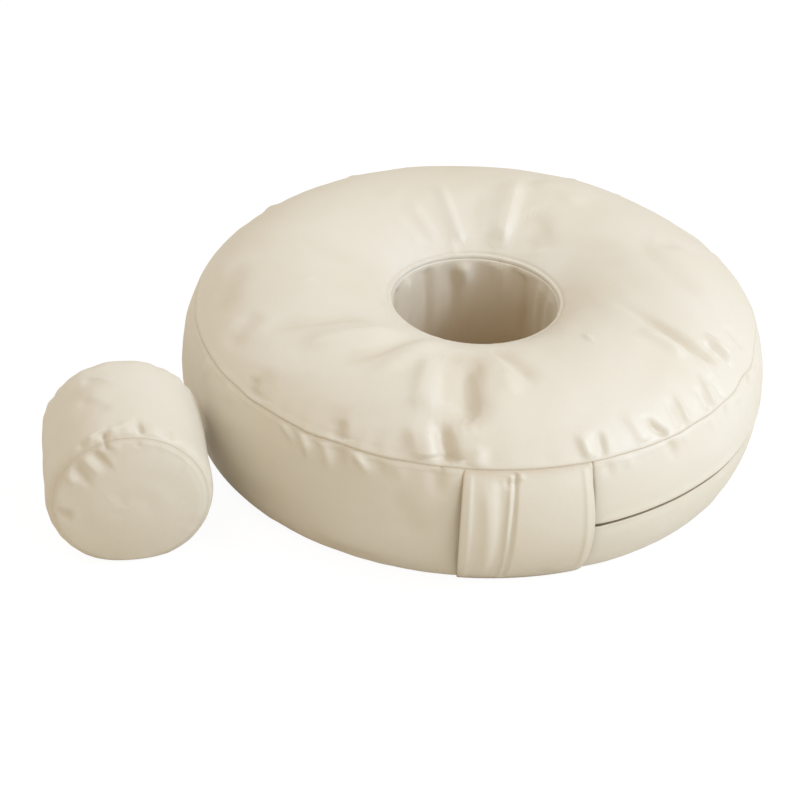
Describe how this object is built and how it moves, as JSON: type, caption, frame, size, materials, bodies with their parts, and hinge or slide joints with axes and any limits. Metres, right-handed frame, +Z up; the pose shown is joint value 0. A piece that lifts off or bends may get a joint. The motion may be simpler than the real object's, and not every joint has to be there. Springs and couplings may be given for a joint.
{
  "type": "ring bolster pillow",
  "caption": "Round ring cushion in wipe-clean cream leatherette, with a wide carry handle and a concealed side zip, and the short zipped bolster that fits its well.",
  "frame": {"origin": "centre of the ring's hole at floor level", "axes": "+Z up along the hole; +X to the right of the carry handle seen from the front; -Y to the front, where the handle starts"},
  "size_m": [0.8243, 0.7175, 0.198],
  "materials": {
    "cover_leatherette": "wipe-clean leatherette with a fine grain and a soft satin sheen",
    "zip_tape": "woven polyester tape",
    "zip_coil": "nylon coil",
    "zip_metal": "nickel plated",
    "liner_cloth": "plain woven cotton",
    "fibre_filling": "loose hollow fibre",
    "sewing_thread": "bonded polyester thread"
  },
  "bodies": {
    "ring": {"ring_top_panel": "cover_leatherette", "ring_bottom_panel": "cover_leatherette", "ring_wall_panel": "cover_leatherette", "ring_wall_upper": "cover_leatherette", "ring_wall_lower": "cover_leatherette", "ring_hole_wall": "cover_leatherette", "handle_face": "cover_leatherette", "handle_lining": "cover_leatherette", "ring_zip_tape_upper": "zip_tape", "ring_zip_tape_lower": "zip_tape", "ring_zip_coil_upper": "zip_coil", "ring_zip_coil_lower": "zip_coil", "ring_zip_stops": "zip_metal", "ring_liner": "liner_cloth", "ring_filling": "fibre_filling", "ring_thread_top_outer": "sewing_thread", "ring_thread_top_hole": "sewing_thread", "ring_thread_bottom_outer": "sewing_thread", "ring_thread_bottom_hole": "sewing_thread"},
    "ring_slider": {"ring_zip_slider": "zip_metal"},
    "ring_pull": {"ring_zip_pull": "zip_metal"},
    "bolster": {"bolster_wrap": "cover_leatherette", "bolster_end_near": "cover_leatherette", "bolster_end_far": "cover_leatherette", "bolster_thread_near": "sewing_thread", "bolster_thread_far": "sewing_thread", "bolster_zip_facing_upper": "cover_leatherette", "bolster_zip_facing_lower": "cover_leatherette", "bolster_zip_tape_upper": "zip_tape", "bolster_zip_tape_lower": "zip_tape", "bolster_zip_coil_upper": "zip_coil", "bolster_zip_coil_lower": "zip_coil", "bolster_zip_stops": "zip_metal", "bolster_liner": "liner_cloth", "bolster_filling": "fibre_filling"},
    "bolster_slider": {"bolster_zip_slider": "zip_metal"},
    "bolster_pull": {"bolster_zip_pull": "zip_metal"}
  },
  "joints": [
    {"name": "bolster_lift", "type": "slide", "parent": "ring", "child": "bolster", "axis": [0, 0, 1], "range_m": [0, 0.25]},
    {"name": "ring_zip_run", "type": "hinge", "parent": "ring", "child": "ring_slider", "pos_m": [0, 0, 0], "axis": [0, 0, 1], "range_deg": [-172.6, 0]},
    {"name": "ring_pull_swing", "type": "hinge", "parent": "ring_slider", "child": "ring_pull", "pos_m": [-0.11089, 0.33408, 0.0725], "axis": [0, 0, 1], "range_deg": [0, 170]},
    {"name": "bolster_zip_run", "type": "slide", "parent": "bolster", "child": "bolster_slider", "axis": [0.2487, -0.9686, 0], "range_m": [0, 0.09]},
    {"name": "bolster_pull_swing", "type": "hinge", "parent": "bolster_slider", "child": "bolster_pull", "pos_m": [-0.46581, -0.25163, 0.04754], "axis": [0.3628, 0.0932, -0.9272], "range_deg": [0, 170]}
  ]
}
